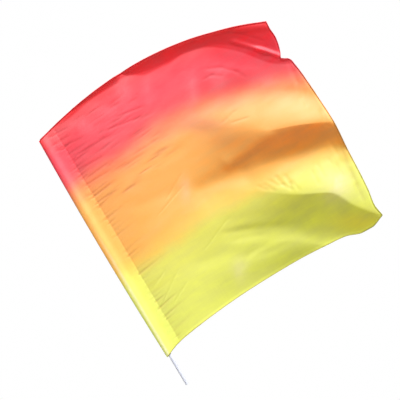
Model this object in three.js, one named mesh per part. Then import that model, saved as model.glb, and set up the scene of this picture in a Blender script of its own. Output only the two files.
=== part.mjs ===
import * as THREE from 'three';

// Worship flag: one square of thin silk, flying face on from a slim white rod that leans to the left.
//
// Millimetres, +Z up, seen from the front along +Y. The origin is the centre of the rod's grip end.
// The flat work is measured in the flag's own frame: `across` runs square to the rod towards the fly,
// and `up` runs along the rod from its grip end. The folds hang by gravity, so they are measured in
// the upright frame: `x` to the right and `z` up. `proud` is how far the cloth stands to the front.

const LEAN = THREE.MathUtils.degToRad(30.7);

// The rod
const ROD_RADIUS = 6;
const ROD_LENGTH = 1006;
const ROD_SIDES = 20;

// The silk and the sleeve that is turned over and stitched down along the hoist
const CLOTH_THICKNESS = 1.6;
const SEAM_ACROSS = 56;
const SEAM_STEP = 2;
const HOIST_INSET = 13;
const HOIST_BOW = 6;
const HOIST_MIDDLE = 572;
const HOIST_HALF_LENGTH = 452;
const TUNNEL_RADIUS = ROD_RADIUS + 0.4;
const FLAT_TUNNEL_HALF_GAP = 0.4;
const FLAT_TUNNEL_START = 32;

// The outline of the panel
const TOP_EDGE = [
  { across: -14, up: 1024 },
  { across: 62, up: 1044 },
  { across: 168, up: 1066 },
  { across: 277, up: 1081 },
  { across: 400, up: 1088 },
  { across: 512, up: 1083 },
  { across: 636, up: 1065 },
  { across: 751, up: 1034 },
  { across: 835, up: 1006 },
  { across: 908, up: 977 },
];
const BOTTOM_EDGE = [
  { across: -14, up: 120 },
  { across: 16, up: 134 },
  { across: 57, up: 147 },
  { across: 131, up: 159 },
  { across: 306, up: 172 },
  { across: 577, up: 176 },
  { across: 707, up: 170 },
  { across: 770, up: 164 },
  { across: 827, up: 146 },
  { across: 861, up: 146 },
  { across: 914, up: 166 },
];
// The fly edge steps in at 839 mm up, where the top corner folds over itself.
const FLY_EDGE = [
  { up: 166, across: 914 },
  { up: 210, across: 907 },
  { up: 269, across: 916 },
  { up: 413, across: 928 },
  { up: 560, across: 934 },
  { up: 700, across: 930 },
  { up: 794, across: 921 },
  { up: 822, across: 913 },
  { up: 839, across: 889 },
  { up: 858, across: 898 },
  { up: 918, across: 910 },
  { up: 953, across: 907 },
  { up: 977, across: 908 },
];

// The waves: each row is a crest or a valley that runs from the hoist to the fly, from the top down.
// z and proud are given at the stations FOLD_X. sharp is 0 for a round line and 1 for a keen crest.
const FOLD_X = [-240, 10, 165, 280, 400, 510, 600, 710];
const FOLD_LINES = [
  {
    name: 'upper rise',
    z: [1025, 1105, 1140, 1140, 1117, 1110, 1100, 1090],
    proud: [0, 0, 2, -5, -11, -14, -14, -14],
    sharp: [0, 0, 0, 0, 0, 0, 0, 0],
  },
  {
    name: 'upper valley',
    z: [880, 995, 1050, 1065, 1065, 1032, 1020, 1010],
    proud: [0, -3, -8, -11, -10, -10, -10, -10],
    sharp: [0, 0, 0, 0, 0, 0, 0, 0],
  },
  {
    name: 'upper crest',
    z: [700, 890, 925, 914, 932, 942, 885, 850],
    proud: [0, 5, 17, 25, 30, 18, 3, -2],
    sharp: [0, 0, 0, 0.3, 0.6, 0.8, 0.6, 0.6],
  },
  {
    name: 'middle valley',
    z: [590, 680, 742, 785, 825, 846, 842, 832],
    proud: [0, -7, -14, -20, -25, -22, -18, -16],
    sharp: [0, 0, 0, 0, 0, 0, 0, 0],
  },
  {
    name: 'lower crest',
    z: [485, 590, 680, 692, 684, 690, 644, 604],
    proud: [0, -3, -11, -8, 11, 21, 18, 6],
    sharp: [0, 0, 0, 0.3, 0.9, 1, 1, 1],
  },
  {
    name: 'lower valley',
    z: [305, 400, 450, 505, 520, 505, 520, 530],
    proud: [0, -12, -28, -36, -41, -44, -38, -26],
    sharp: [0, 0, 0, 0, 0, 0, 0, 0],
  },
  {
    name: 'bottom rise',
    z: [20, 160, 290, 340, 370, 390, 410, 420],
    proud: [0, -22, -44, -62, -76, -82, -68, -44],
    sharp: [0, 0, 0, 0, 0, 0, 0, 0],
  },
];
const CREST_SHARPNESS = 0.7;
const APPROACH_SHARPNESS = 0.12;
const WAVES_START = 60;
const WAVES_FULL = 320;

// The wind bellies the whole panel to the back between the seam and the fly.
const BELLY_DEPTH = 30;
const BELLY_END = 930;

// The margin along the top edge curls to the front. Its width and slope change along the edge.
const CURL = [
  { across: 175, width: 8, slope: 0.5 },
  { across: 340, width: 24, slope: 0.5 },
  { across: 364, width: 2, slope: 0.5 },
  { across: 392, width: 22, slope: 0.5 },
  { across: 440, width: 38, slope: 0.5 },
  { across: 520, width: 44, slope: 0.5 },
  { across: 600, width: 40, slope: 0.5 },
  { across: 700, width: 44, slope: 0.45 },
  { across: 780, width: 70, slope: 0.33 },
  { across: 900, width: 120, slope: 0.15 },
];
const CURL_START = 150;
const CURL_POWER = 1.3;

// Creases laid over the waves: ridges have proud above 0 and troughs below 0. above and below are
// how far each reaches to its two sides, and fade how far it runs out past its two ends.
const CREASES = [
  { name: 'pleat ridge, inner', from: [175, 1230], to: [269, 1203], proud: 7, above: 12, below: 8, fade: 20 },
  { name: 'pleat ridge, outer', from: [269, 1203], to: [337, 1180], proud: 8, above: 12, below: 8, fade: 20 },
  { name: 'pleat dip', from: [114, 1162], to: [334, 1118], proud: -6, above: 45, below: 60, fade: 40 },
  { name: 'top corner lip', from: [190, 1275], to: [283, 1286], proud: 4, above: 14, below: 13, fade: 30 },
  { name: 'middle valley, end', from: [60, 695], to: [195, 762], proud: -7, above: 45, below: 80, fade: 40 },
  { name: 'middle valley, brow', from: [150, 795], to: [290, 890], proud: 4, above: 30, below: 18, fade: 20 },
  { name: 'low dip', from: [204, 548], to: [335, 566], proud: -4, above: 24, below: 30, fade: 60 },
  { name: 'lowest dip', from: [205, 462], to: [271, 486], proud: -3, above: 26, below: 34, fade: 60 },
];

// The grid of the solid
const SLEEVE_COLUMNS = [-8, 0, 8, 16, 28, 42];
const PANEL_COLUMNS = 34;
const ROW_ZONES = [
  { to: 0.7, rows: 25 },
  { to: 0.982, rows: 19 },
  { to: 1, rows: 1 },
];
const SETTLING_ROUNDS = 12;

// Cubic through the rows of a table with no overshoot between them, level beyond its two ends.
function smoothCurve(inputs, outputs) {
  const last = inputs.length - 1;
  const rise = (k) => (outputs[k + 1] - outputs[k]) / (inputs[k + 1] - inputs[k]);
  const slopeAt = (k) => {
    if (k === 0) return rise(0);
    if (k === last) return rise(last - 1);
    const before = rise(k - 1);
    const after = rise(k);
    if (before * after <= 0) return 0;
    const limit = 3 * Math.min(Math.abs(before), Math.abs(after));
    return THREE.MathUtils.clamp((before + after) / 2, -limit, limit);
  };
  return (input) => {
    const x = THREE.MathUtils.clamp(input, inputs[0], inputs[last]);
    let k = 0;
    while (k < last - 1 && x > inputs[k + 1]) k += 1;
    const span = inputs[k + 1] - inputs[k];
    const t = (x - inputs[k]) / span;
    const rest = 1 - t;
    const start = outputs[k] * (1 + 2 * t) + slopeAt(k) * span * t;
    const end = outputs[k + 1] * (1 + 2 * rest) - slopeAt(k + 1) * span * rest;
    return start * rest * rest + end * t * t;
  };
}

function tableCurve(rows, input, output) {
  return smoothCurve(rows.map((row) => row[input]), rows.map((row) => row[output]));
}

const topEdge = tableCurve(TOP_EDGE, 'across', 'up');
const bottomEdge = tableCurve(BOTTOM_EDGE, 'across', 'up');
const flyEdge = tableCurve(FLY_EDGE, 'up', 'across');
const curlWidth = tableCurve(CURL, 'across', 'width');
const curlSlope = tableCurve(CURL, 'across', 'slope');
const foldCurves = FOLD_LINES.map((line) => ({
  z: smoothCurve(FOLD_X, line.z),
  proud: smoothCurve(FOLD_X, line.proud),
  sharp: smoothCurve(FOLD_X, line.sharp),
}));

function hoistEdge(up) {
  const fromMiddle = (up - HOIST_MIDDLE) / HOIST_HALF_LENGTH;
  return -HOIST_INSET - HOIST_BOW * (1 - fromMiddle ** 2);
}

// From the flag's own frame to the upright one
function upright(across, up) {
  const x = across * Math.cos(LEAN) - up * Math.sin(LEAN);
  const z = across * Math.sin(LEAN) + up * Math.cos(LEAN);
  return { x, z };
}

// The long waves at a point: each goes from one fold line down to the next.
function waves(x, z) {
  const lines = foldCurves.map((line) => ({ z: line.z(x), proud: line.proud(x), sharp: line.sharp(x) }));
  const next = lines.findIndex((line) => line.z < z);
  if (next === 0) return lines[0].proud;
  if (next === -1) return lines[lines.length - 1].proud;
  const upper = lines[next - 1];
  const lower = lines[next];
  const t = (upper.z - z) / (upper.z - lower.z);
  const round = THREE.MathUtils.smoothstep(t, 0, 1);
  const leaving = Math.sin((Math.PI / 2) * t) - round;
  const arriving = 1 - Math.cos((Math.PI / 2) * t) - round;
  const blend = round + upper.sharp * CREST_SHARPNESS * leaving + lower.sharp * APPROACH_SHARPNESS * arriving;
  return upper.proud + (lower.proud - upper.proud) * blend;
}

function belly(across) {
  const share = THREE.MathUtils.clamp((across - SEAM_ACROSS) / (BELLY_END - SEAM_ACROSS), 0, 1);
  return -BELLY_DEPTH * Math.sin(Math.PI * share) ** 2;
}

function curl(across, up) {
  if (across < CURL_START) return 0;
  const width = curlWidth(across);
  const inward = (topEdge(across) - up) / width;
  return width * curlSlope(across) * Math.max(1 - inward, 0) ** CURL_POWER;
}

function creases(x, z) {
  let sum = 0;
  for (const crease of CREASES) {
    const from = new THREE.Vector2(...crease.from);
    const direction = new THREE.Vector2(...crease.to).sub(from);
    const length = direction.length();
    direction.normalize();
    const offset = new THREE.Vector2(x, z).sub(from);
    const along = offset.dot(direction);
    const side = direction.cross(offset);
    const reach = side > 0 ? crease.above : crease.below;
    const overrun = Math.max(-along, along - length, 0) / crease.fade;
    sum += crease.proud * Math.exp(-((side / reach) ** 2) - overrun ** 2);
  }
  return sum;
}

function proudAt(across, up) {
  const { x, z } = upright(across, up);
  const free = THREE.MathUtils.smoothstep(across, WAVES_START, WAVES_FULL);
  return waves(x, z) * free + belly(across) + curl(across, up) + creases(x, z);
}

// Half the gap inside the sleeve: round over the rod, then nearly flat, and closed at both ends.
function tunnelHalfGap(across, up) {
  const open = hoistEdge(up) + CLOTH_THICKNESS;
  const shoulder = SLEEVE_COLUMNS[0];
  if (across <= open || across >= SEAM_ACROSS) return 0;
  if (across < shoulder) return (TUNNEL_RADIUS * (across - open)) / (shoulder - open);
  const flatness = THREE.MathUtils.smoothstep(across, -shoulder, FLAT_TUNNEL_START);
  return THREE.MathUtils.lerp(TUNNEL_RADIUS, FLAT_TUNNEL_HALF_GAP, flatness);
}

function columnAcross(column, up) {
  const hoist = hoistEdge(up);
  const fixed = [hoist, hoist + CLOTH_THICKNESS, ...SLEEVE_COLUMNS, SEAM_ACROSS, SEAM_ACROSS + SEAM_STEP];
  if (column < fixed.length) return fixed[column];
  const share = (column - fixed.length + 1) / PANEL_COLUMNS;
  return THREE.MathUtils.lerp(SEAM_ACROSS + SEAM_STEP, flyEdge(up), share);
}

const FIRST_TUNNEL_COLUMN = 1;
const LAST_TUNNEL_COLUMN = SLEEVE_COLUMNS.length + 2;
const LAST_COLUMN = LAST_TUNNEL_COLUMN + 1 + PANEL_COLUMNS;

function rowShares() {
  const shares = [0];
  for (const zone of ROW_ZONES) {
    const from = shares[shares.length - 1];
    for (let row = 1; row <= zone.rows; row += 1) {
      shares.push(THREE.MathUtils.lerp(from, zone.to, row / zone.rows));
    }
  }
  return shares;
}

// One place on the cloth: its points on the outer faces and on the faces inside the sleeve
function clothPlace(column, share) {
  let across = 0;
  let up = HOIST_MIDDLE;
  for (let round = 0; round < SETTLING_ROUNDS; round += 1) {
    across = columnAcross(column, up);
    up = THREE.MathUtils.lerp(bottomEdge(across), topEdge(across), share);
  }
  const { x, z } = upright(across, up);
  const middle = -proudAt(across, up);
  const gap = tunnelHalfGap(across, up);
  const inSleeve = column >= FIRST_TUNNEL_COLUMN && column <= LAST_TUNNEL_COLUMN;
  const half = inSleeve ? gap + CLOTH_THICKNESS : CLOTH_THICKNESS / 2;
  return {
    front: new THREE.Vector3(x, middle - half, z),
    back: new THREE.Vector3(x, middle + half, z),
    innerFront: new THREE.Vector3(x, middle - gap, z),
    innerBack: new THREE.Vector3(x, middle + gap, z),
  };
}

// Adds a flat-ish polygon as a fan of triangles, leaving out points that repeat.
function addPolygon(positions, corners) {
  const points = corners.filter((point, k) => !point.equals(corners[(k + 1) % corners.length]));
  for (let k = 1; k < points.length - 1; k += 1) {
    for (const point of [points[0], points[k], points[k + 1]]) {
      positions.push(point.x, point.y, point.z);
    }
  }
}

function meshFrom(name, geometry, material) {
  const mesh = new THREE.Mesh(geometry, material);
  mesh.name = name;
  return mesh;
}

function makeCloth() {
  const shares = rowShares();
  const topRow = shares.length - 1;
  const tunnelEndRow = topRow - 1;
  const places = shares.map((share) => {
    const row = [];
    for (let column = 0; column <= LAST_COLUMN; column += 1) row.push(clothPlace(column, share));
    return row;
  });
  const positions = [];

  // Outer faces, front and back, and the two faces inside the sleeve. Each cell is cut in two along
  // b to d, the way the waves run across the grid.
  for (let row = 0; row < topRow; row += 1) {
    for (let column = 0; column < LAST_COLUMN; column += 1) {
      const a = places[row][column];
      const b = places[row][column + 1];
      const c = places[row + 1][column + 1];
      const d = places[row + 1][column];
      addPolygon(positions, [b.front, c.front, d.front, a.front]);
      addPolygon(positions, [b.back, a.back, d.back, c.back]);
      const inTunnel = column >= FIRST_TUNNEL_COLUMN && column < LAST_TUNNEL_COLUMN;
      if (inTunnel && row < tunnelEndRow) {
        addPolygon(positions, [a.innerFront, d.innerFront, c.innerFront, b.innerFront]);
        addPolygon(positions, [a.innerBack, b.innerBack, c.innerBack, d.innerBack]);
      }
    }
  }

  // Hoist and fly edges
  for (let row = 0; row < topRow; row += 1) {
    const hoist = places[row][0];
    const hoistAbove = places[row + 1][0];
    addPolygon(positions, [hoist.front, hoistAbove.front, hoistAbove.back, hoist.back]);
    const fly = places[row][LAST_COLUMN];
    const flyAbove = places[row + 1][LAST_COLUMN];
    addPolygon(positions, [fly.front, fly.back, flyAbove.back, flyAbove.front]);
  }

  // Top edge, the closed upper end of the sleeve, and the bottom edge with the sleeve's open mouth
  for (let column = 0; column < LAST_COLUMN; column += 1) {
    const top = places[topRow][column];
    const topNext = places[topRow][column + 1];
    addPolygon(positions, [top.front, topNext.front, topNext.back, top.back]);

    const low = places[0][column];
    const lowNext = places[0][column + 1];
    const inTunnel = column >= FIRST_TUNNEL_COLUMN && column < LAST_TUNNEL_COLUMN;
    if (inTunnel) {
      const end = places[tunnelEndRow][column];
      const endNext = places[tunnelEndRow][column + 1];
      addPolygon(positions, [end.innerFront, end.innerBack, endNext.innerBack, endNext.innerFront]);
      addPolygon(positions, [low.front, low.innerFront, lowNext.innerFront, lowNext.front]);
      addPolygon(positions, [low.innerBack, low.back, lowNext.back, lowNext.innerBack]);
    } else {
      const rim = [low.front, low.back, lowNext.back, lowNext.front];
      if (column + 1 === FIRST_TUNNEL_COLUMN) rim.splice(3, 0, lowNext.innerFront);
      if (column === LAST_TUNNEL_COLUMN) rim.splice(1, 0, low.innerFront);
      addPolygon(positions, rim);
    }
  }

  const geometry = new THREE.BufferGeometry();
  geometry.setAttribute('position', new THREE.Float32BufferAttribute(positions, 3));
  geometry.computeVertexNormals();
  const silk = new THREE.MeshStandardMaterial({ color: 0xf7b45f, roughness: 0.5, metalness: 0 });
  silk.side = THREE.DoubleSide;
  return meshFrom('flag_cloth', geometry, silk);
}

function makeRod() {
  const geometry = new THREE.CylinderGeometry(ROD_RADIUS, ROD_RADIUS, ROD_LENGTH, ROD_SIDES);
  geometry.rotateX(Math.PI / 2);
  geometry.translate(0, 0, ROD_LENGTH / 2);
  geometry.rotateY(-LEAN);
  const plastic = new THREE.MeshStandardMaterial({ color: 0xeeeef4, roughness: 0.35, metalness: 0 });
  return meshFrom('flag_rod', geometry, plastic);
}

const flag = new THREE.Group();
flag.add(makeCloth(), makeRod());

export default flag;
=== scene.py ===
"""A worship flag: a square of dip-dyed silk flying face on from a slim white rod, in a studio."""
import math

import bpy
import numpy as np
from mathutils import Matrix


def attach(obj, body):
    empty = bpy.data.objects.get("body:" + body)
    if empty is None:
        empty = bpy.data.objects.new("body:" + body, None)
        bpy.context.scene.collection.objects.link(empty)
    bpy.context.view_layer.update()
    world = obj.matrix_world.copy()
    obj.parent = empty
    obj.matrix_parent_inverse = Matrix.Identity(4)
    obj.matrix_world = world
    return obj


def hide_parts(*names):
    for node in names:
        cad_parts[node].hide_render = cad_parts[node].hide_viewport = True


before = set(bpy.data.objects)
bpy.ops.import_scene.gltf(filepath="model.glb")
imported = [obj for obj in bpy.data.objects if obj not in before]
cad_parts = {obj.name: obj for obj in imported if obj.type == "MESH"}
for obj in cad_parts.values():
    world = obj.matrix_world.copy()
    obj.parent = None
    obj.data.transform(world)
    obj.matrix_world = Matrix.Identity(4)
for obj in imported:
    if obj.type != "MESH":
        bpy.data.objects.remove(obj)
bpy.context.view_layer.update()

# Metres throughout. The flat work is measured in the flag's own frame: `across` runs square to the
# rod towards the fly, and `up` runs along the rod from its grip end. Folds hang by gravity, so they
# are measured in the upright frame, x to the right and z up. `proud` is towards the viewer, along -Y.

LEAN = math.radians(30.7)
SEED = 7

# The rod
ROD_RADIUS = 0.006
ROD_LENGTH = 1.006
ROD_SIDES = 64
ROD_END_ROUND = 0.0008
ROD_END_STEPS = 5

# The silk and its sleeve
SEAM_ACROSS = 0.056
HOIST_INSET = 0.013
HOIST_BOW = 0.006
HOIST_MIDDLE = 0.572
HOIST_HALF_LENGTH = 0.452
LAYER_GAP = 0.0005
TUNNEL_RADIUS = ROD_RADIUS + 0.0005
TUNNEL_SPREAD_HOIST = 0.020
TUNNEL_SPREAD_SEAM = 0.0165

# across, up
TOP_EDGE = (
    (-0.014, 1.024), (0.062, 1.044), (0.168, 1.066), (0.277, 1.081), (0.400, 1.088),
    (0.512, 1.083), (0.636, 1.065), (0.751, 1.034), (0.835, 1.006), (0.908, 0.977),
)
# across, up
BOTTOM_EDGE = (
    (-0.014, 0.120), (0.016, 0.134), (0.057, 0.147), (0.131, 0.159), (0.306, 0.172), (0.577, 0.176),
    (0.707, 0.170), (0.770, 0.164), (0.827, 0.146), (0.861, 0.146), (0.914, 0.166),
)
# up, across
FLY_EDGE = (
    (0.166, 0.914), (0.210, 0.907), (0.269, 0.916), (0.413, 0.928), (0.560, 0.934), (0.700, 0.930),
    (0.794, 0.921), (0.822, 0.913), (0.839, 0.889), (0.858, 0.898), (0.918, 0.910), (0.953, 0.907),
    (0.977, 0.908),
)

# The waves, from the top down: z and proud at the stations FOLD_X, and how keen the crest is.
FOLD_X = (-0.240, 0.010, 0.165, 0.280, 0.400, 0.510, 0.600, 0.710)
ROUNDED = (0.0,) * len(FOLD_X)
FOLD_LINES = (
    dict(name="upper rise",
         z=(1.025, 1.105, 1.140, 1.140, 1.117, 1.110, 1.100, 1.090),
         proud=(0.0, 0.0, 0.002, -0.005, -0.011, -0.014, -0.014, -0.014),
         sharp=ROUNDED),
    dict(name="upper valley",
         z=(0.880, 0.995, 1.050, 1.065, 1.065, 1.032, 1.020, 1.010),
         proud=(0.0, -0.003, -0.008, -0.011, -0.010, -0.010, -0.010, -0.010),
         sharp=ROUNDED),
    dict(name="upper crest",
         z=(0.700, 0.890, 0.925, 0.914, 0.932, 0.942, 0.885, 0.850),
         proud=(0.0, 0.005, 0.017, 0.025, 0.030, 0.018, 0.003, -0.002),
         sharp=(0.0, 0.0, 0.0, 0.3, 0.6, 0.8, 0.6, 0.6)),
    dict(name="middle valley",
         z=(0.590, 0.680, 0.742, 0.785, 0.825, 0.846, 0.842, 0.832),
         proud=(0.0, -0.007, -0.014, -0.020, -0.025, -0.022, -0.018, -0.016),
         sharp=ROUNDED),
    dict(name="lower crest",
         z=(0.485, 0.590, 0.680, 0.692, 0.684, 0.690, 0.644, 0.604),
         proud=(0.0, -0.003, -0.011, -0.008, 0.011, 0.021, 0.018, 0.006),
         sharp=(0.0, 0.0, 0.0, 0.3, 0.9, 1.0, 1.0, 1.0)),
    dict(name="lower valley",
         z=(0.305, 0.400, 0.450, 0.505, 0.520, 0.505, 0.520, 0.530),
         proud=(0.0, -0.012, -0.028, -0.036, -0.041, -0.044, -0.038, -0.026),
         sharp=ROUNDED),
    dict(name="bottom rise",
         z=(0.020, 0.160, 0.290, 0.340, 0.370, 0.390, 0.410, 0.420),
         proud=(0.0, -0.022, -0.044, -0.062, -0.076, -0.082, -0.068, -0.044),
         sharp=ROUNDED),
)
CREST_SHARPNESS = 0.7
APPROACH_SHARPNESS = 0.12
WAVES_START = 0.060
WAVES_FULL = 0.320
BELLY_DEPTH = 0.030
BELLY_END = 0.930

# The margin along the top edge curls to the front: across, width, slope
CURL = (
    (0.175, 0.008, 0.50), (0.340, 0.024, 0.50), (0.364, 0.002, 0.50), (0.392, 0.022, 0.50),
    (0.440, 0.038, 0.50), (0.520, 0.044, 0.50), (0.600, 0.040, 0.50), (0.700, 0.044, 0.45),
    (0.780, 0.070, 0.33), (0.900, 0.120, 0.15),
)
CURL_START = 0.150
CURL_POWER = 1.3

# Main creases: from, to, proud, reach above, reach below, fade past the ends
MAIN_CREASES = (
    ((0.175, 1.230), (0.269, 1.203), 0.005, 0.009, 0.007, 0.020),
    ((0.269, 1.203), (0.337, 1.180), 0.006, 0.010, 0.007, 0.020),
    ((0.114, 1.162), (0.334, 1.118), -0.006, 0.045, 0.060, 0.040),
    ((0.190, 1.275), (0.283, 1.286), 0.004, 0.014, 0.013, 0.030),
    ((0.060, 0.695), (0.195, 0.762), -0.007, 0.045, 0.080, 0.040),
    ((0.150, 0.795), (0.290, 0.890), 0.004, 0.030, 0.018, 0.020),
    ((0.204, 0.548), (0.335, 0.566), -0.004, 0.024, 0.030, 0.060),
    ((0.205, 0.462), (0.271, 0.486), -0.003, 0.026, 0.034, 0.060),
)

# Fine creases, grouped by place: each group shares its proud, its reach, how far it fades past its
# ends and how much painted shade lies in it, and lists from and to.
FINE_CREASES = (
    dict(name="arcs under the pleat", proud=-0.0008, reach=0.0060, fade=0.012, shade=0.22, lines=(
        ((0.132, 1.139), (0.175, 1.128)), ((0.175, 1.128), (0.201, 1.113)),
        ((0.064, 1.103), (0.089, 1.115)), ((0.089, 1.115), (0.121, 1.112)),
        ((0.078, 1.139), (0.121, 1.143)))),
    dict(name="lines on the corner", proud=-0.0010, reach=0.0050, fade=0.020, shade=0.20, lines=(
        ((0.120, 1.262), (0.190, 1.262)), ((0.190, 1.262), (0.262, 1.240)))),
    dict(name="ripples at the fly", proud=-0.0020, reach=0.0070, fade=0.014, shade=0.0, lines=(
        ((0.366, 1.160), (0.391, 1.095)), ((0.388, 1.124), (0.409, 1.034)),
        ((0.413, 1.081), (0.427, 1.009)), ((0.485, 0.980), (0.499, 0.937)),
        ((0.514, 0.879), (0.539, 0.836)), ((0.560, 0.800), (0.585, 0.740)),
        ((0.600, 0.735), (0.622, 0.680)))),
    dict(name="short creases over the lower crest", proud=-0.0011, reach=0.0042, fade=0.010,
         shade=0.14, lines=(
        ((0.262, 0.712), (0.286, 0.702)), ((0.283, 0.718), (0.312, 0.700)),
        ((0.301, 0.732), (0.330, 0.716)), ((0.380, 0.728), (0.402, 0.704)),
        ((0.453, 0.764), (0.470, 0.728)), ((0.474, 0.788), (0.492, 0.752)),
        ((0.514, 0.807), (0.543, 0.764)))),
    dict(name="longer creases over the lower crest", proud=-0.0017, reach=0.0052, fade=0.008,
         shade=0.18, lines=(
        ((0.323, 0.746), (0.345, 0.720)), ((0.345, 0.720), (0.366, 0.708)),
        ((0.356, 0.750), (0.372, 0.722)), ((0.372, 0.722), (0.376, 0.704)))),
    dict(name="ripples along the fly edge", proud=-0.0018, reach=0.0040, fade=0.012,
         shade=0.25, lines=(
        ((0.560, 0.838), (0.578, 0.802)), ((0.572, 0.800), (0.596, 0.750)),
        ((0.592, 0.770), (0.612, 0.722)), ((0.612, 0.715), (0.634, 0.668)),
        ((0.540, 0.790), (0.560, 0.758)))),
    dict(name="creases on the middle crest", proud=-0.0009, reach=0.0050, fade=0.012,
         shade=0.16, lines=(
        ((0.130, 0.946), (0.168, 0.982)), ((0.170, 0.945), (0.210, 0.958)))),
    dict(name="streaks under the lower wave", proud=-0.0012, reach=0.0130, fade=0.030,
         shade=0.0, lines=(
        ((0.150, 0.545), (0.230, 0.558)), ((0.180, 0.520), (0.260, 0.535)),
        ((0.215, 0.462), (0.270, 0.490)), ((0.200, 0.425), (0.235, 0.470)),
        ((0.290, 0.470), (0.360, 0.500)))),
    dict(name="long thin creases", proud=-0.0008, reach=0.0030, fade=0.012, shade=0.0, lines=(
        ((-0.087, 0.296), (-0.037, 0.401)), ((0.071, 0.494), (0.143, 0.591)),
        ((-0.098, 0.617), (-0.019, 0.710)), ((-0.069, 0.678), (-0.026, 0.750)),
        ((-0.134, 0.332), (-0.084, 0.404)), ((-0.041, 0.303), (-0.005, 0.361)))),
    dict(name="streaks in the hoist corner", proud=-0.0009, reach=0.0045, fade=0.022, shade=0.35, lines=(
        ((-0.494, 0.890), (-0.447, 0.915)), ((-0.480, 0.861), (-0.444, 0.883)),
        ((-0.469, 0.840), (-0.426, 0.865)), ((-0.386, 0.833), (-0.289, 0.890)),
        ((-0.372, 0.782), (-0.321, 0.811)), ((-0.350, 0.750), (-0.300, 0.786)),
        ((-0.357, 0.721), (-0.300, 0.757)), ((-0.329, 0.681), (-0.285, 0.717)),
        ((-0.271, 0.923), (-0.192, 0.955)), ((-0.242, 0.969), (-0.177, 0.995)))),
    dict(name="low soft waves", proud=-0.0014, reach=0.0220, fade=0.033, shade=0.0, lines=(
        ((0.161, 0.588), (0.269, 0.606)), ((0.269, 0.523), (0.406, 0.548)),
        ((0.064, 0.440), (0.147, 0.476)), ((0.035, 0.710), (0.201, 0.743)),
        ((0.093, 0.743), (0.215, 0.771)), ((-0.134, 0.789), (-0.033, 0.843)),
        ((-0.170, 0.645), (-0.044, 0.699)))),
)

# Drag lines near the rod: how many, then the ranges of their middle, depth, length, reach and rise
DRAG_LINES = 76
DRAG_ACROSS = (0.040, 0.380)
DRAG_UP = (0.710, 1.030)
DRAG_DEPTH = (0.0002, 0.0007)
DRAG_LENGTH = (0.025, 0.090)
DRAG_REACH = (0.0025, 0.0055)
DRAG_RISE = (math.radians(0), math.radians(9))
# How much painted shade lies in the drag lines
DRAG_SHADE = 0.65

# The puckers that the stitching draws along the seam
PUCKER_PITCH = 0.0125
PUCKER_JITTER = 0.35
PUCKER_DEPTH = 0.0015
PUCKER_LEAST = 0.12
# How much painted shade lies in the puckers
PUCKER_SHADE = 0.6
PUCKER_REACH = (0.0029, 0.0050)
PUCKER_LENGTHS = (0.018, 0.085)
PUCKER_RISE = math.radians(10)
PUCKER_RISE_SPREAD = 0.05
SLEEVE_PUCKER_LENGTHS = (0.005, 0.018)
RELIEF_CLEAR_OF_ROD = (0.010, 0.034)
BACK_RELIEF = -0.4
SEAM_GROOVE = 0.0004
SEAM_GROOVE_REACH = 0.0022

# Where the dyes meet: across, up
YELLOW_LINE = (
    (-0.020, 0.450), (0.085, 0.458), (0.237, 0.475), (0.373, 0.492), (0.569, 0.476),
    (0.667, 0.466), (0.812, 0.448), (0.898, 0.428), (0.935, 0.405),
)
RED_LINE = (
    (-0.020, 0.800), (0.085, 0.820), (0.201, 0.822), (0.289, 0.834), (0.386, 0.854), (0.488, 0.851),
    (0.586, 0.836), (0.684, 0.808), (0.820, 0.772), (0.935, 0.735),
)

# Patches that took less dye, and near the fly two painted highlights on the lit slope: x, z, half width, half
# height, strength
PALE_DYE_AND_HIGHLIGHT_PATCHES = (
    (-0.232, 1.063, 0.030, 0.040, 0.65),
    (-0.141, 1.060, 0.024, 0.060, 0.35),
    (0.017, 1.068, 0.028, 0.065, 0.50),
    (0.114, 1.093, 0.036, 0.045, 0.40),
    (-0.386, 0.933, 0.075, 0.030, 0.50),
    (-0.300, 0.985, 0.060, 0.028, 0.40),
    (0.283, 1.095, 0.050, 0.026, 0.50),
    (-0.470, 0.890, 0.040, 0.030, 0.40),
    (0.190, 0.405, 0.026, 0.040, 1.00),
    (-0.008, 0.707, 0.022, 0.050, 0.80),
    # Painted highlights on the lit slope near the fly
    (0.530, 0.700, 0.044, 0.052, 1.00),
    (0.556, 0.728, 0.034, 0.042, 1.00),
)

# Patches where the orange lies darker and browner, partly dye and partly painted shade below the upper crest:
# x, z, half width, half height, strength
DUSKY_DYE_AND_SHADE_PATCHES = (
    (0.052, 0.936, 0.085, 0.030, 1.15),
    (-0.085, 0.905, 0.060, 0.034, 0.40),
    (0.130, 0.880, 0.060, 0.030, 0.40),
)

# A warmer, golden patch of dye by the lower fly corner: x, z, half width, half height, strength
GOLDEN_PATCHES = (
    (0.625, 0.585, 0.110, 0.042, 1.00),
)

# Where more of the light comes through from behind. First the slopes facing down over which it
# sets in, then the deep red margin: across, width below the top edge.
OVERHANG_SLOPES = (0.08, 0.45)
OVERHANG_STEP = 0.002
DEEP_MARGIN = (
    (0.050, 0.004), (0.130, 0.018), (0.290, 0.017), (0.370, 0.018), (0.450, 0.052),
    (0.530, 0.052), (0.610, 0.040), (0.690, 0.050), (0.770, 0.092), (0.850, 0.160), (0.920, 0.175),
)
DEEP_MARGIN_SOFTNESS = 0.007
# The margin loses this share over the slopes that face up
MARGIN_LIT_SLOPES = (0.02, 0.35)
MARGIN_LIT_LOSS = 0.8
# How much each lets through, where an overhang is 1, and the dye shares over which red sets in
MARGIN_DEPTH = 1.7
WRINKLE_DEPTH = 0.5
RED_DEPTH = 0.35
RED_SHARES = (0.66, 0.74)

# The mesh
ROWS = 400
BACK_COLUMNS = 16
WRAP_COLUMNS = 7
FRONT_COLUMNS = 30
NEAR_SEAM = 0.090
NEAR_SEAM_COLUMNS = 30
PANEL_COLUMNS = 130
SETTLING_ROUNDS = 12

# The two layers of the sleeve and of the narrow turned hems, and the strip of painted light where the rod
# shows
SEAM_SOFTNESS = 0.001
HEM_TURN = 0.010
HEM_DOUBLED = 0.35
HEM_SOFTNESS = 0.002
ROD_GLOW_ACROSS = -0.003
ROD_GLOW_REACH = 0.0052

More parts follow.
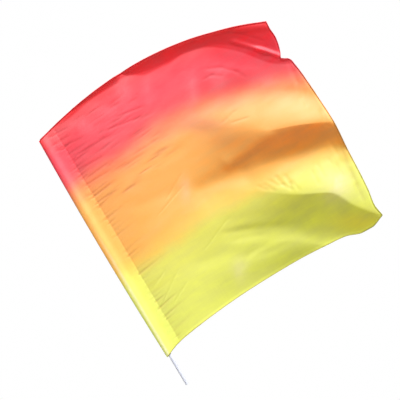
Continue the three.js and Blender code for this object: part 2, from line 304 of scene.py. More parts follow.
# The rolled hem
HEM_RADIUS = 0.0019
HEM_FORWARD = 0.0008
HEM_SIDES = 6
HEM_WOBBLE = 0.25
HEM_WOBBLE_SPAN = 5
HEM_FLY_STEP = 2

# The stitches
STITCH_PITCH = 0.0036
STITCH_LENGTH = 0.0026
STITCH_RADIUS = 0.00028
STITCH_SIDES = 5
SEAM_END_CLEARANCE = 0.004
# Height over the silk from one end of a stitch to the other, in radii
STITCH_ARCH = (-1.0, 0.6, 1.0, 0.6, -1.0)

# The dyes: dye share, linear colour
DYE_STOPS = (
    (0.00, (0.80, 0.82, 0.100)),
    (0.285, (0.76, 0.77, 0.085)),
    (0.335, (0.90, 0.62, 0.045)),
    (0.385, (0.95, 0.45, 0.032)),
    (0.60, (0.95, 0.43, 0.032)),
    (0.665, (0.95, 0.18, 0.040)),
    (0.73, (0.94, 0.030, 0.080)),
    (0.88, (0.96, 0.008, 0.058)),
    (1.00, (1.00, 0.002, 0.010)),
)
DYE_WANDER = 0.050
# Painted light where the silk lies doubled, for the light that the second layer sends back
DOUBLED_PAINTED_LIGHT = (1.10, 1.14, 1.00, 1.0)
GOLDEN_TINT = (1.12, 1.02, 0.40, 1.0)
# Darker and browner: partly dye, partly painted shade
DUSKY_DYE_AND_SHADE_TINT = (0.76, 0.66, 0.85, 1.0)
# Paler: less dye, and near the fly painted highlight
PALE_DYE_AND_HIGHLIGHT_COLOUR = (1.0, 0.82, 0.90, 1.0)
# Painted shade: the hem thread is darkened for the shade along the rolled edge
HEM_THREAD_PAINTED_SHADE = (0.52, 0.48, 0.45, 1.0)
SEAM_THREAD_DEPTH = (0.90, 0.82, 0.75, 1.0)
# Patch strength, share paled, and the stretch of the noise that makes the patches ragged
PALE_DYE_AND_HIGHLIGHT_STOPS = ((0.0, (0.0, 0.0, 0.0)), (1.0, (0.36, 0.36, 0.36)))
RAGGED_STRETCH = (26, 26, 14)
# Wrinkle share, and what is left of the colour under the painted shade in the wrinkles
WRINKLE_PAINTED_SHADE_STOPS = ((0.0, (1.0, 1.0, 1.0)), (1.0, (0.82, 0.68, 0.64)))

# Uneven dye and thread: stretch of the noise along the flat sheet, and what it does to the colour
BLOTCH_STRETCH = (9, 24, 1)
SLUB_STRETCHES = ((6, 260, 1), (260, 6, 1))
BLOTCH_WEIGHT = 0.8
SLUB_WEIGHT = 0.12
UNEVEN_STOPS = ((0.34, (0.90, 0.89, 0.84)), (0.74, (1.07, 1.07, 1.11)))

# The ribs of the weave: the axis that they repeat along, and how closely
RIB_STRETCHES = (("X", (2200, 1, 1)), ("Y", (1, 2200, 1)))
RIB_WEIGHT = 0.35

# Shares of the light that come through: on open silk, on two layers, then what an overhang adds and
# what the blotches change. After them, how much deeper the dye looks then, and how sheer the weave is.
SILK_TRANSLUCENT = 0.47
DOUBLED_TRANSLUCENT = 0.18
OVERHANG_GAIN = 0.22
BLOTCH_GAIN = 0.42
THROUGH_DEPTH = 0.8
SILK_SHEER = 0.02

# The white rod seen through the silk, as painted light: dye share, how much of it shows
ROD_PAINTED_LIGHT_COLOUR = (1.0, 0.96, 0.55, 1.0)
ROD_PAINTED_LIGHT_STOPS = (
    (0.0, (0.80, 0.80, 0.80)), (0.33, (0.55, 0.55, 0.55)),
    (0.50, (0.15, 0.15, 0.15)), (0.58, (0.0, 0.0, 0.0)),
)

# The rod's plastic: mark noise, linear colour, then roughness
ROD_COLOUR_STOPS = ((0.3, (0.62, 0.64, 0.74)), (0.7, (0.70, 0.72, 0.80)))
ROD_GLOSS_STOPS = ((0.3, (0.24, 0.24, 0.24)), (0.75, (0.38, 0.38, 0.38)))

# The studio
CAMERA_DISTANCE = 5.0
FRAME_WIDTH = 1.44
FRAME_CENTRE = (0.0457, 0.6635)
SENSOR_WIDTH = 36.0
FLOOR_Z = -0.42
FLOOR_SIZE = 4.4
FLOOR_STOPS = ((0.3, (0.62, 0.62, 0.62)), (0.7, (0.66, 0.66, 0.66)))
KEY_PLACE = (0.3, -2.4, 4.7)
KEY_POWER = 40.0
KEY_SIZE = 1.2
KEY_SPREAD = math.radians(45)
# Share from in front of the flag to behind it, and the brightness of the studio there
STUDIO_STOPS = (
    (0.0, (0.05, 0.05, 0.05)), (0.50, (0.08, 0.08, 0.08)),
    (0.85, (0.97, 0.97, 0.97)), (1.0, (1.0, 1.0, 1.0)),
)


def smooth_curve(inputs, outputs):
    """A function through the given points with no overshoot between them, level beyond both ends."""
    xs = np.array(inputs, float)
    ys = np.array(outputs, float)
    rise = np.diff(ys) / np.diff(xs)
    slope = np.concatenate([rise[:1], (rise[1:] + rise[:-1]) / 2, rise[-1:]])
    limit = 3 * np.minimum(np.abs(rise[1:]), np.abs(rise[:-1]))
    slope[1:-1] = np.where(rise[1:] * rise[:-1] <= 0, 0, np.clip(slope[1:-1], -limit, limit))

    def value(at):
        x = np.clip(np.asarray(at, float), xs[0], xs[-1])
        k = np.clip(np.searchsorted(xs, x, side="right") - 1, 0, len(xs) - 2)
        span = xs[k + 1] - xs[k]
        t = (x - xs[k]) / span
        rest = 1 - t
        start = ys[k] * (1 + 2 * t) + slope[k] * span * t
        end = ys[k + 1] * (1 + 2 * rest) - slope[k + 1] * span * rest
        return start * rest ** 2 + end * t ** 2

    return value


top_edge = smooth_curve(*zip(*TOP_EDGE))
bottom_edge = smooth_curve(*zip(*BOTTOM_EDGE))
fly_edge = smooth_curve(*zip(*FLY_EDGE))
curl_across, curl_widths, curl_slopes = zip(*CURL)
curl_width = smooth_curve(curl_across, curl_widths)
curl_slope = smooth_curve(curl_across, curl_slopes)
deep_margin = smooth_curve(*zip(*DEEP_MARGIN))
yellow_line = smooth_curve(*zip(*YELLOW_LINE))
red_line = smooth_curve(*zip(*RED_LINE))
fold_curves = [
    [smooth_curve(FOLD_X, line[key]) for key in ("z", "proud", "sharp")]
    for line in FOLD_LINES
]


def smooth_step(value, start=0.0, end=1.0):
    """0 up to the start, 1 from the end on, and an even rise between them."""
    t = np.clip((value - start) / (end - start), 0, 1)
    return t * t * (3 - 2 * t)


def hoist_edge(up):
    """How far across the sleeve's outer fold lies: it bows out a little towards its middle."""
    return -HOIST_INSET - HOIST_BOW * (1 - ((up - HOIST_MIDDLE) / HOIST_HALF_LENGTH) ** 2)


def upright(across, up):
    """From the leaning frame of the flag to x and z."""
    x = across * math.cos(LEAN) - up * math.sin(LEAN)
    z = across * math.sin(LEAN) + up * math.cos(LEAN)
    return x, z


def waves(x, z):
    """The long waves: each goes from one fold line down to the next."""
    lines = [[curve(x) for curve in curves] for curves in fold_curves]
    proud = np.array(lines[0][1])
    for (upper_z, upper, sharp), (lower_z, lower, sharp_below) in zip(lines, lines[1:]):
        t = np.clip((upper_z - z) / (upper_z - lower_z), 0, 1)
        rounded = smooth_step(t)
        leaving = np.sin(math.pi / 2 * t) - rounded
        arriving = 1 - np.cos(math.pi / 2 * t) - rounded
        blend = rounded + sharp * CREST_SHARPNESS * leaving + sharp_below * APPROACH_SHARPNESS * arriving
        proud = np.where(t > 0, upper + (lower - upper) * blend, proud)
    return proud


def belly(across):
    """The wind's push: the middle of the flag lies further back than its hoist and its fly."""
    share = np.clip((across - SEAM_ACROSS) / (BELLY_END - SEAM_ACROSS), 0, 1)
    return -BELLY_DEPTH * np.sin(math.pi * share) ** 2


def curl(across, up):
    """The margin along the top edge, rolled to the front."""
    width = curl_width(across)
    inward = (top_edge(across) - up) / width
    rolled = width * curl_slope(across) * np.maximum(1 - inward, 0) ** CURL_POWER
    return np.where(across < CURL_START, 0, rolled)


def crease(x, z, start, end, proud, above, below, fade):
    """A soft ridge or trough along a straight line, fading past its two ends."""
    step_x, step_z = end[0] - start[0], end[1] - start[1]
    length = math.hypot(step_x, step_z)
    step_x, step_z = step_x / length, step_z / length
    along = (x - start[0]) * step_x + (z - start[1]) * step_z
    side = (z - start[1]) * step_x - (x - start[0]) * step_z
    reach = np.where(side > 0, above, below)
    overrun = np.maximum(np.maximum(-along, along - length), 0) / fade
    return proud * np.exp(-(side / reach) ** 2 - overrun ** 2)


def fine_creases(x, z, strength):
    """All fine creases together, each as strong as its group's value of that name says."""
    total = np.zeros_like(x)
    for group in FINE_CREASES:
        reach = group["reach"]
        for start, end in group["lines"]:
            total += crease(x, z, start, end, group[strength], reach, reach, group["fade"])
    return total


def seam_puckers(across, up):
    """Short wrinkles on both sides of the seam, longer on the panel than on the sleeve."""
    rng = np.random.default_rng(SEED)
    total = np.zeros_like(across)
    span = top_edge(SEAM_ACROSS) - bottom_edge(SEAM_ACROSS)
    for k in range(int(span / PUCKER_PITCH)):
        step = k + 0.5 + rng.uniform(-PUCKER_JITTER, PUCKER_JITTER)
        root = bottom_edge(SEAM_ACROSS) + step * PUCKER_PITCH
        long_share = rng.random() ** 2
        length = PUCKER_LENGTHS[0] + (PUCKER_LENGTHS[1] - PUCKER_LENGTHS[0]) * long_share
        sleeve_length = rng.uniform(*SLEEVE_PUCKER_LENGTHS)
        depth = PUCKER_DEPTH * (PUCKER_LEAST + rng.random() ** 3)
        rise = math.tan(PUCKER_RISE + rng.uniform(-PUCKER_RISE_SPREAD, PUCKER_RISE_SPREAD))
        away = across - SEAM_ACROSS
        half_width = PUCKER_REACH[0] + (PUCKER_REACH[1] - PUCKER_REACH[0]) * long_share
        side = (up - root - away * rise) / half_width
        reach = np.where(away > 0, length, sleeve_length)
        total -= depth * np.exp(-side ** 2 - (away / reach) ** 2)
    return total


def drag_lines(across, up):
    """Faint pulled lines, scattered over the upper cloth near the rod."""
    rng = np.random.default_rng(SEED + 1)
    total = np.zeros_like(across)
    for _ in range(DRAG_LINES):
        middle_across = rng.uniform(*DRAG_ACROSS)
        middle_up = rng.uniform(*DRAG_UP)
        rise = rng.uniform(*DRAG_RISE)
        half_length = rng.uniform(*DRAG_LENGTH) / 2
        reach = rng.uniform(*DRAG_REACH)
        depth = rng.uniform(*DRAG_DEPTH)
        along = (across - middle_across) * math.cos(rise) + (up - middle_up) * math.sin(rise)
        side = (up - middle_up) * math.cos(rise) - (across - middle_across) * math.sin(rise)
        total -= depth * np.exp(-(side / reach) ** 2 - (along / half_length) ** 2)
    return total


def wrinkle_share(across, up):
    """How far down a wrinkle the silk lies here: 0 on the open cloth, 1 in the deepest. It sets the painted
    shade.
    """
    x, z = upright(across, up)
    total = -PUCKER_SHADE * seam_puckers(across, up) / PUCKER_DEPTH
    total += DRAG_SHADE * np.minimum(-drag_lines(across, up) / DRAG_DEPTH[1], 1)
    return np.clip(total + fine_creases(x, z, "shade"), 0, 1)


def patch_share(x, z, patches):
    """How strongly soft-edged patches show at each place: dye, with painted shade in some and painted
    highlight in others.
    """
    total = np.zeros_like(x)
    for middle_x, middle_z, half_width, half_height, strength in patches:
        distance = ((x - middle_x) / half_width) ** 2 + ((z - middle_z) / half_height) ** 2
        total += strength * np.exp(-distance)
    return total


def fine_relief(across, up, x, z):
    """How far the fine wrinkles stand forward: puckers, drag lines and fine creases."""
    return seam_puckers(across, up) + drag_lines(across, up) + fine_creases(x, z, "proud")


def proud_at(across, up):
    """How far the cloth stands to the front, without its fine wrinkles."""
    x, z = upright(across, up)
    free = smooth_step(across, WAVES_START, WAVES_FULL)
    proud = waves(x, z) * free + belly(across) + curl(across, up)
    for start, end, height, above, below, fade in MAIN_CREASES:
        proud = proud + crease(x, z, start, end, height, above, below, fade)
    return proud


def sleeve_half_gap(across):
    """Half the room inside the sleeve: over the rod it stands up, towards the seam it lies flat."""
    spread = np.where(across < 0, TUNNEL_SPREAD_HOIST, TUNNEL_SPREAD_SEAM)
    return LAYER_GAP + (TUNNEL_RADIUS - LAYER_GAP) * np.exp(-(across / spread) ** 2)


def mesh_piece(name, vertices, faces, smooth=True):
    """A new piece of the scene from its points and faces."""
    mesh = bpy.data.meshes.new(name)
    mesh.from_pydata([tuple(v) for v in vertices], [], [tuple(f) for f in faces])
    mesh.update()
    if smooth:
        mesh.shade_smooth()
    piece = bpy.data.objects.new(name, mesh)
    bpy.context.scene.collection.objects.link(piece)
    return piece


def grid_faces(columns, rows):
    """The four-sided faces between the points of a grid."""
    index = np.arange(columns * rows).reshape(columns, rows)
    a, b = index[:-1, :-1], index[1:, :-1]
    c, d = index[1:, 1:], index[:-1, 1:]
    return np.stack([a, b, c, d], -1).reshape(-1, 4)


def cloth_columns():
    """What each column of the sheet is: the layer it lies on, and how far along that layer."""
    columns = [("back", share) for share in np.linspace(1, 0, BACK_COLUMNS, endpoint=False)]
    columns += [("wrap", share) for share in np.linspace(0, 1, WRAP_COLUMNS)]
    columns += [("front", share) for share in np.linspace(0, 1, FRONT_COLUMNS + 1)[1:]]
    columns += [("near", share) for share in np.linspace(0, 1, NEAR_SEAM_COLUMNS + 1)[1:]]
    columns += [("panel", share) for share in np.linspace(0, 1, PANEL_COLUMNS + 1)[1:]]
    return columns


def column_place(layer, share, up):
    """Where one column lies across the flag, and how far its layer stands to the back."""
    hoist = hoist_edge(up)
    wrap_radius = sleeve_half_gap(hoist)
    inner = hoist + wrap_radius
    if layer == "wrap":
        turn = math.pi * share
        return inner - wrap_radius * math.sin(turn), wrap_radius * math.cos(turn)
    if layer in ("back", "front"):
        across = inner + (SEAM_ACROSS - inner) * share
        side = 1 if layer == "back" else -1
        return across, side * sleeve_half_gap(across)
    in_front = np.full_like(up, -LAYER_GAP)
    start = SEAM_ACROSS + NEAR_SEAM
    if layer == "near":
        return np.full_like(up, SEAM_ACROSS + NEAR_SEAM * share), in_front
    return start + (fly_edge(up) - start) * share, in_front


def cloth_grid():
    """The whole sheet as a grid: across, up and y for every column and row."""
    shares = np.linspace(0, 1, ROWS)
    across_rows, up_rows, y_rows = [], [], []
    for layer, share in cloth_columns():
        up = bottom_edge(0) + (top_edge(0) - bottom_edge(0)) * shares
        for _ in range(SETTLING_ROUNDS):
            across, to_back = column_place(layer, share, up)
            up = bottom_edge(across) + (top_edge(across) - bottom_edge(across)) * shares
        x, z = upright(across, up)
        relief = proud_at(across, up)
        fine = fine_relief(across, up, x, z) * smooth_step(across, *RELIEF_CLEAR_OF_ROD)
        groove = -SEAM_GROOVE * np.exp(-((across - SEAM_ACROSS) / SEAM_GROOVE_REACH) ** 2)
        if layer == "wrap":
            fine, groove = 0, 0
        if layer == "back":
            fine, groove = BACK_RELIEF * fine, 0
        y_rows.append(to_back - relief - fine - groove)
        across_rows.append(across)
        up_rows.append(up)
    return np.array(across_rows), np.array(up_rows), np.array(y_rows)


def dye_share(across, up):
    """0 at the bottom edge, 1/3 where yellow meets orange, 2/3 where orange meets red, 1 at the top."""
    low, yellow = bottom_edge(across), yellow_line(across)
    red, high = red_line(across), top_edge(across)
    in_yellow = (up - low) / (yellow - low)
    in_orange = (up - yellow) / (red - yellow)
    in_red = (up - red) / (high - red)
    return np.where(up < yellow, in_yellow, np.where(up < red, 1 + in_orange, 2 + in_red)) / 3


def through_share(across, up):
    """Where more of the light comes through from behind: 0 on open cloth, 1 where it faces down."""
    step_across = OVERHANG_STEP * math.sin(LEAN)
    step_up = OVERHANG_STEP * math.cos(LEAN)
    above = proud_at(across + step_across, up + step_up)
    below = proud_at(across - step_across, up - step_up)
    slope = (above - below) / (2 * OVERHANG_STEP)
    overhung = smooth_step(slope, *OVERHANG_SLOPES)
    past_margin = top_edge(across) - up - deep_margin(across)
    margin = MARGIN_DEPTH * (1 - smooth_step(past_margin, -DEEP_MARGIN_SOFTNESS, DEEP_MARGIN_SOFTNESS))
    margin *= 1 - MARGIN_LIT_LOSS * smooth_step(-slope, *MARGIN_LIT_SLOPES)
    red = RED_DEPTH * smooth_step(dye_share(across, up), *RED_SHARES)
    return np.maximum(np.maximum(overhung, margin), red + WRINKLE_DEPTH * wrinkle_share(across, up))


def doubled_share(across, up):
    """1 on the sleeve, where the silk lies in two layers, and less in the narrow turned hems."""
    sleeve = 1 - smooth_step(across, SEAM_ACROSS - SEAM_SOFTNESS, SEAM_ACROSS + SEAM_SOFTNESS)
    from_edge = np.minimum(up - bottom_edge(across), top_edge(across) - up)
    from_edge = np.minimum(from_edge, fly_edge(up) - across)
    past_turn = smooth_step(from_edge, HEM_TURN - HEM_SOFTNESS, HEM_TURN + HEM_SOFTNESS)
    return np.maximum(sleeve, HEM_DOUBLED * (1 - past_turn))


def add_point_value(piece, name, values):
    """Store one number for each point of the mesh, for a material to read."""
    layer = piece.data.attributes.new(name, "FLOAT", "POINT")
    layer.data.foreach_set("value", np.asarray(values, np.float32).ravel())


def lay_flat(cloth, across, up, y):
    """Give the sheet its flat layout: the length along each row across, and up."""
    steps = np.hypot(np.diff(across, axis=0), np.diff(y, axis=0))
    flat_across = np.vstack([np.zeros(ROWS), np.cumsum(steps, axis=0)])
    layer = cloth.data.uv_layers.new(name="flat")
    corners = np.empty(len(cloth.data.loops), np.int64)
    cloth.data.loops.foreach_get("vertex_index", corners)
    flat = np.stack([flat_across.ravel()[corners], up.ravel()[corners]], -1)
    layer.data.foreach_set("uv", flat.astype(np.float32).ravel())


def make_cloth():
    """The whole sheet of silk, with what its material reads at each point."""
    across, up, y = cloth_grid()
    x, z = upright(across, up)
    vertices = np.stack([x, y, z], -1).reshape(-1, 3)
    cloth = mesh_piece("flag_silk", vertices, grid_faces(*across.shape))
    values = dict(
        dye=dye_share(across, up),
        doubled=doubled_share(across, up),
        wrinkle=wrinkle_share(across, up),
        through=through_share(across, up),
        pale_dye_and_highlight=patch_share(x, z, PALE_DYE_AND_HIGHLIGHT_PATCHES),
        dusky_dye_and_shade=patch_share(x, z, DUSKY_DYE_AND_SHADE_PATCHES),
        golden=patch_share(x, z, GOLDEN_PATCHES),
        rod_painted_light=np.exp(-((across - ROD_GLOW_ACROSS) / ROD_GLOW_REACH) ** 2),
    )
    for name, value in values.items():
        add_point_value(cloth, name, value)
    lay_flat(cloth, across, up, y)
    return cloth, across, up, y


def tube_rings(path, radius, sides, offset=0):
    """Rings of a tube along a path, with the faces between them and a cap at each end."""
    path = np.asarray(path, float)
    forward = np.gradient(path, axis=0)
    forward /= np.linalg.norm(forward, axis=1, keepdims=True)
    side = np.cross(forward, (0, 1, 0))
    side /= np.linalg.norm(side, axis=1, keepdims=True)
    over = np.cross(side, forward)
    radius = np.broadcast_to(radius, len(path))[:, None, None]
    turn = np.linspace(0, 2 * math.pi, sides, endpoint=False)[None, :, None]
    rings = path[:, None] + radius * (np.cos(turn) * side[:, None] + np.sin(turn) * over[:, None])
    faces = []
    for ring in range(len(path) - 1):
        for k in range(sides):
            a = offset + ring * sides + k
            b = offset + ring * sides + (k + 1) % sides
            faces.append((a, a + sides, b + sides, b))
    faces.append([offset + k for k in range(sides)])
    faces.append([offset + (len(path) - 1) * sides + k for k in reversed(range(sides))])
    return rings.reshape(-1, 3), faces


def make_hem(across, up, y):
    """The narrow rolled hem: bottom edge, then up the fly, then back along the top."""
    first_panel = BACK_COLUMNS + WRAP_COLUMNS - 1
    bottom = [(column, 0) for column in range(first_panel, across.shape[0] - 1)]
    fly = [(across.shape[0] - 1, row) for row in range(0, ROWS - 1, HEM_FLY_STEP)]
    top = [(column, ROWS - 1) for column in range(across.shape[0] - 1, first_panel, -1)]
    cells = np.array(bottom + fly + top)
    hem_across, hem_up, depth = (table[cells[:, 0], cells[:, 1]] for table in (across, up, y))
    x, z = upright(hem_across, hem_up)
    path = np.stack([x, depth - HEM_FORWARD, z], -1)
    rng = np.random.default_rng(SEED)
    blur = np.ones(HEM_WOBBLE_SPAN) / HEM_WOBBLE_SPAN
    wobble = np.convolve(rng.uniform(-1, 1, len(path)), blur, mode="same")
    rings, faces = tube_rings(path, HEM_RADIUS * (1 + HEM_WOBBLE * wobble), HEM_SIDES)
    hem = mesh_piece("rolled_hem", rings, faces)
    add_point_value(hem, "dye", np.repeat(dye_share(hem_across, hem_up), HEM_SIDES))
    return hem


def make_stitches():
    """The row of machine stitches that closes the sleeve."""
    vertices, faces, dye = [], [], []
    low = bottom_edge(SEAM_ACROSS) + SEAM_END_CLEARANCE
    high = top_edge(SEAM_ACROSS) - SEAM_END_CLEARANCE
    for k in range(int((high - low) / STITCH_PITCH)):
        start = low + k * STITCH_PITCH
        ups = start + STITCH_LENGTH * np.linspace(0, 1, len(STITCH_ARCH))
        across = np.full_like(ups, SEAM_ACROSS)
        x, z = upright(across, ups)
        surface = LAYER_GAP + proud_at(across, ups) + fine_relief(across, ups, x, z) - SEAM_GROOVE
        arch = STITCH_RADIUS * np.array(STITCH_ARCH)
        path = np.stack([x, -(surface + arch), z], -1)
        rings, ring_faces = tube_rings(path, STITCH_RADIUS, STITCH_SIDES, offset=sum(map(len, vertices)))
        vertices.append(rings)
        faces += ring_faces
        dye.append(np.full(len(rings), float(dye_share(SEAM_ACROSS, start))))
    stitches = mesh_piece("sleeve_stitches", np.concatenate(vertices), faces)
    add_point_value(stitches, "dye", np.concatenate(dye))
    return stitches


def make_rod():
    """The slim rod with its two ends rounded over."""
    turn = np.linspace(0, math.pi / 2, ROD_END_STEPS)
    drop = ROD_END_ROUND * (1 - np.cos(turn))
    inset = ROD_END_ROUND * (1 - np.sin(turn))
    length = np.concatenate([drop, [ROD_LENGTH / 2], ROD_LENGTH - drop[::-1]])
    radius = np.concatenate([ROD_RADIUS - inset, [ROD_RADIUS], ROD_RADIUS - inset[::-1]])
    x, z = upright(np.zeros_like(length), length)
    rings, faces = tube_rings(np.stack([x, np.zeros_like(x), z], -1), radius, ROD_SIDES)
    rod = mesh_piece("rod", rings, faces)
    for polygon in rod.data.polygons:
        polygon.use_smooth = len(polygon.vertices) == 4
    return rod


def new_material(name):
    """An empty material, its node tree and the socket that its surface goes into."""
    material = bpy.data.materials.new(name)
    material.use_nodes = True
    tree = material.node_tree
    tree.nodes.clear()
    output = tree.nodes.new("ShaderNodeOutputMaterial")
    return material, tree, output.inputs["Surface"]


def feed(tree, socket, value):
    """Link another node's output into a socket, or set a number or a colour on it."""
    if isinstance(value, bpy.types.NodeSocket):
        tree.links.new(value, socket)
    else:
        socket.default_value = value


def add_node(tree, kind, inputs):
    """A node of one kind with its named inputs fed."""
    node = tree.nodes.new(kind)
    for name, value in inputs.items():
        feed(tree, node.inputs[name], value)
    return node


def object_position(tree):
    return tree.nodes.new("ShaderNodeTexCoord").outputs["Object"]


def flat_position(tree):
    """The place on the flat, unfolded sheet."""
    node = tree.nodes.new("ShaderNodeUVMap")
    node.uv_map = "flat"
    return node.outputs["UV"]


def mesh_value(tree, name):
    """The number that the mesh carries under this name."""
    node = tree.nodes.new("ShaderNodeAttribute")
    node.attribute_name = name
    return node.outputs["Fac"]


def calculate(tree, operation, *values):
    """One sum or product of numbers and other nodes' outputs."""
    node = tree.nodes.new("ShaderNodeMath")
    node.operation = operation
    for socket, value in zip(node.inputs, values):
        feed(tree, socket, value)
    return node.outputs["Value"]


def ramp(tree, source, stops, interpolation="LINEAR"):
    """A colour ramp through the stops, each a position and a colour."""
    node = add_node(tree, "ShaderNodeValToRGB", {"Fac": source})
    node.color_ramp.interpolation = interpolation
    elements = node.color_ramp.elements
    while len(elements) < len(stops):
        elements.new(0.5)
    for element, (position, colour) in zip(elements, stops):
        element.position = position
        element.color = (*colour, 1.0)
    return node.outputs["Color"]


def mixed(tree, share, first, second, blend="MIX"):
    """The first colour, gone over into the second one or multiplied by it as far as the share says."""
    node = tree.nodes.new("ShaderNodeMix")
    node.data_type = "RGBA"
    node.blend_type = blend
    feed(tree, node.inputs["Factor"], share)
    feed(tree, node.inputs["A"], first)
    feed(tree, node.inputs["B"], second)
    return node.outputs["Result"]


def mixed_surfaces(tree, share, first, second):
    """The first surface, with this share of the second one in it."""
    node = add_node(tree, "ShaderNodeMixShader", {"Fac": share})
    tree.links.new(first, node.inputs[1])
    tree.links.new(second, node.inputs[2])
    return node.outputs["Shader"]


def noise(tree, vector, scale=1.0, detail=3.0, roughness=0.5):
    inputs = {"Vector": vector, "Scale": scale, "Detail": detail, "Roughness": roughness}
    return add_node(tree, "ShaderNodeTexNoise", inputs).outputs["Fac"]


def stretched(tree, vector, scale):
    return add_node(tree, "ShaderNodeMapping", {"Vector": vector, "Scale": scale}).outputs["Vector"]


def bump(tree, height, strength, distance):
    inputs = {"Height": height, "Strength": strength, "Distance": distance}
    return add_node(tree, "ShaderNodeBump", inputs).outputs["Normal"]


def dye_colour(tree, position):
    """The dip-dyed bands: the share read from the mesh, made to wander and bleed, then coloured."""
    wander = noise(tree, position, scale=7.0, detail=4.0, roughness=0.6)
    offset = calculate(tree, "MULTIPLY_ADD", wander, DYE_WANDER, -DYE_WANDER / 2)
    share = calculate(tree, "ADD", mesh_value(tree, "dye"), offset)
    return ramp(tree, share, DYE_STOPS, "B_SPLINE")


def patchy_colour(tree, position, blotch, slubs):
    """The dyes as the silk took them up: uneven along the threads, with richer and paler patches. Some darker
    ones are partly painted shade, and two paler ones are painted highlight.
    """
    weighted_blotch = calculate(tree, "MULTIPLY", blotch, BLOTCH_WEIGHT)
    weighted_slubs = calculate(tree, "MULTIPLY", slubs, SLUB_WEIGHT)
    uneven = calculate(tree, "ADD", weighted_blotch, weighted_slubs)
    colour = mixed(tree, 1.0, dye_colour(tree, position), ramp(tree, uneven, UNEVEN_STOPS), "MULTIPLY")
    colour = mixed(tree, mesh_value(tree, "golden"), colour, GOLDEN_TINT, "MULTIPLY")
    # Partly dye, partly painted shade below the upper crest
    colour = mixed(tree, mesh_value(tree, "dusky_dye_and_shade"), colour, DUSKY_DYE_AND_SHADE_TINT, "MULTIPLY")
    # Paler patches: less dye, and near the fly painted highlight
    ragged = noise(tree, stretched(tree, position, RAGGED_STRETCH), detail=5.0, roughness=0.6)
    pale_dye_and_highlight = calculate(tree, "MULTIPLY", mesh_value(tree, "pale_dye_and_highlight"), ragged)
    return mixed(tree, ramp(tree, pale_dye_and_highlight, PALE_DYE_AND_HIGHLIGHT_STOPS), colour, PALE_DYE_AND_HIGHLIGHT_COLOUR)


def shaded_colour(tree, colour):
    """Painted shade in the wrinkles, painted light where the silk is doubled, and a pale strip of painted
    light over the rod.
    """
    # Painted shade: the colour is darkened down the wrinkles
    deeper = ramp(tree, mesh_value(tree, "wrinkle"), WRINKLE_PAINTED_SHADE_STOPS)
    colour = mixed(tree, 1.0, colour, deeper, "MULTIPLY")
    # Painted light: lighter where the silk lies doubled
    colour = mixed(tree, mesh_value(tree, "doubled"), colour, DOUBLED_PAINTED_LIGHT, "MULTIPLY")
    # Painted light: a pale strip where the white rod shows through the silk
    pale_dye = ramp(tree, mesh_value(tree, "dye"), ROD_PAINTED_LIGHT_STOPS)
    glow = calculate(tree, "MULTIPLY", mesh_value(tree, "rod_painted_light"), pale_dye)
    return mixed(tree, glow, colour, ROD_PAINTED_LIGHT_COLOUR)


def weave_normal(tree, flat, slubs):
    """Plain weave: fine ribs both ways, with slubs."""
    ribs = []
    for axis, stretch in RIB_STRETCHES:
        inputs = {"Vector": stretched(tree, flat, stretch), "Scale": 1.0, "Distortion": 0.6}
        wave = add_node(tree, "ShaderNodeTexWave", inputs)
        wave.bands_direction = axis
        ribs.append(wave.outputs["Fac"])
    weave = calculate(tree, "MULTIPLY", calculate(tree, "ADD", *ribs), RIB_WEIGHT)
    return bump(tree, calculate(tree, "ADD", weave, slubs), strength=0.18, distance=0.0006)


def let_through(tree, blotch):
    """How much of the light comes through: less in two layers, more where the silk faces down."""
    layers = calculate(tree, "MULTIPLY_ADD", mesh_value(tree, "doubled"),
                       DOUBLED_TRANSLUCENT - SILK_TRANSLUCENT, SILK_TRANSLUCENT)
    facing_down = calculate(tree, "MULTIPLY", mesh_value(tree, "through"), OVERHANG_GAIN)
    blotchy = calculate(tree, "MULTIPLY_ADD", blotch, BLOTCH_GAIN, -BLOTCH_GAIN / 2)
    return calculate(tree, "ADD", calculate(tree, "ADD", layers, facing_down), blotchy)


def silk_material():
    """Thin dip-dyed silk: it shines a little, and light from behind comes through it."""
    material, tree, surface = new_material("dyed_silk")
    position = object_position(tree)
    flat = flat_position(tree)
    blotch = noise(tree, stretched(tree, flat, BLOTCH_STRETCH))
    slubs = calculate(tree, "ADD", *(noise(tree, stretched(tree, flat, way)) for way in SLUB_STRETCHES))
    colour = shaded_colour(tree, patchy_colour(tree, position, blotch, slubs))
    normal = weave_normal(tree, flat, slubs)
    shine = add_node(tree, "ShaderNodeBsdfPrincipled", {
        "Base Color": colour, "Normal": normal, "Roughness": 0.70, "IOR": 1.85,
        "Specular IOR Level": 1.0, "Sheen Weight": 0.05, "Sheen Roughness": 0.5,
    })

    # Light that comes through has passed the dye twice as long
    deep = mixed(tree, THROUGH_DEPTH, colour, colour, "MULTIPLY")
    through = add_node(tree, "ShaderNodeBsdfTranslucent", {"Color": deep, "Normal": normal})
    cloth = mixed_surfaces(tree, let_through(tree, blotch), shine.outputs["BSDF"], through.outputs["BSDF"])

    # The thin weave lets a little of what lies behind show
    clear = tree.nodes.new("ShaderNodeBsdfTransparent")
    tree.links.new(mixed_surfaces(tree, SILK_SHEER, cloth, clear.outputs["BSDF"]), surface)
    return material


def thread_material(name, depth):
    """Hem and stitches: the same dyes, darker, on twisted thread. The hem's darkening is painted shade along
    its rolled edge.
    """
    material, tree, surface = new_material(name)
    position = object_position(tree)
    colour = mixed(tree, 1.0, dye_colour(tree, position), depth, "MULTIPLY")
    twist = noise(tree, position, scale=900.0, detail=2.0)
    thread = add_node(tree, "ShaderNodeBsdfPrincipled", {
        "Base Color": colour, "Normal": bump(tree, twist, strength=0.3, distance=0.0002),
        "Roughness": 0.5, "Sheen Weight": 0.2,
    })
    tree.links.new(thread.outputs["BSDF"], surface)
    return material


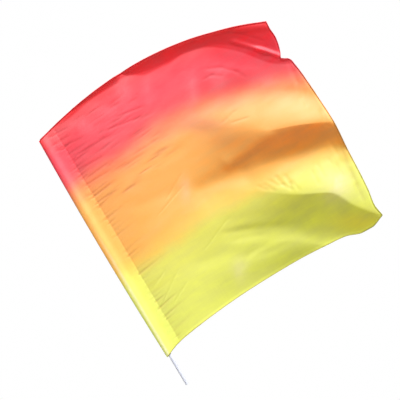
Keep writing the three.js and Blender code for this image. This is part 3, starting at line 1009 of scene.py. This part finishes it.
def rod_material():
    """Smooth white plastic with faint draw lines and handling marks."""
    material, tree, surface = new_material("white_plastic")
    position = object_position(tree)
    marks = noise(tree, position, scale=60.0, detail=5.0, roughness=0.65)
    grain = noise(tree, position, scale=1400.0, detail=2.0)
    plastic = add_node(tree, "ShaderNodeBsdfPrincipled", {
        "Base Color": ramp(tree, marks, ROD_COLOUR_STOPS),
        "Roughness": ramp(tree, marks, ROD_GLOSS_STOPS),
        "Normal": bump(tree, grain, strength=0.03, distance=0.0001),
        "Coat Weight": 0.3, "Coat Roughness": 0.12,
    })
    tree.links.new(plastic.outputs["BSDF"], surface)
    return material


def floor_material():
    """Matt white paper."""
    material, tree, surface = new_material("studio_white")
    grain = noise(tree, object_position(tree), scale=3.0)
    paper = add_node(tree, "ShaderNodeBsdfPrincipled", {
        "Base Color": ramp(tree, grain, FLOOR_STOPS), "Roughness": 0.9, "Specular IOR Level": 0.1,
    })
    tree.links.new(paper.outputs["BSDF"], surface)
    return material


def make_floor():
    """A plain pale floor, below the flag."""
    half = FLOOR_SIZE / 2
    corners = [(-half, -half, FLOOR_Z), (half, -half, FLOOR_Z), (half, half, FLOOR_Z), (-half, half, FLOOR_Z)]
    floor = mesh_piece("studio_floor", corners, [(0, 1, 2, 3)], smooth=False)
    floor.data.materials.append(floor_material())


def add_light(name, place, target, energy, size, spread):
    """A square soft lamp that points at the target."""
    lamp = bpy.data.lights.new(name, "AREA")
    lamp.energy = energy
    lamp.size = size
    lamp.shape = "SQUARE"
    lamp.spread = spread
    light = bpy.data.objects.new(name, lamp)
    light.location = place
    direction = np.array(target) - np.array(place)
    light.rotation_euler = (
        math.atan2(math.hypot(direction[0], direction[1]), -direction[2]),
        0,
        math.atan2(direction[1], direction[0]) - math.pi / 2,
    )
    bpy.context.scene.collection.objects.link(light)
    return light


def make_lights():
    """A soft lamp from above, and a studio that is bright behind the flag and dim in front of it."""
    centre = (FRAME_CENTRE[0], 0.0, FRAME_CENTRE[1])
    add_light("key", KEY_PLACE, centre, KEY_POWER, KEY_SIZE, KEY_SPREAD)
    world = bpy.data.worlds.new("studio")
    world.use_nodes = True
    tree = world.node_tree
    direction = tree.nodes.new("ShaderNodeTexCoord")
    parts = add_node(tree, "ShaderNodeSeparateXYZ", {"Vector": direction.outputs["Generated"]})
    share = calculate(tree, "MULTIPLY_ADD", parts.outputs["Y"], 0.5, 0.5)
    background = tree.nodes["Background"]
    feed(tree, background.inputs["Color"], ramp(tree, share, STUDIO_STOPS))
    feed(tree, background.inputs["Strength"], 1.0)
    bpy.context.scene.world = world


def make_camera():
    """The photo's view, square on to the flag."""
    lens = bpy.data.cameras.new("camera")
    lens.sensor_width = SENSOR_WIDTH
    lens.lens = SENSOR_WIDTH * CAMERA_DISTANCE / FRAME_WIDTH
    camera = bpy.data.objects.new("camera", lens)
    camera.location = (FRAME_CENTRE[0], -CAMERA_DISTANCE, FRAME_CENTRE[1])
    camera.rotation_euler = (math.pi / 2, 0, 0)
    bpy.context.scene.collection.objects.link(camera)
    bpy.context.scene.camera = camera


make_camera()
make_lights()
make_floor()
bpy.context.scene.view_settings.view_transform = "Standard"

cloth, across, up, depth = make_cloth()
hem = make_hem(across, up, depth)
stitches = make_stitches()
rod = make_rod()

cloth.data.materials.append(silk_material())
hem.data.materials.append(thread_material("hem_thread", HEM_THREAD_PAINTED_SHADE))
stitches.data.materials.append(thread_material("seam_thread", SEAM_THREAD_DEPTH))
rod.data.materials.append(rod_material())

for piece in (cloth, hem, stitches):
    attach(piece, "root")
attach(rod, "root")
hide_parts("flag_cloth")
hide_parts("flag_rod")
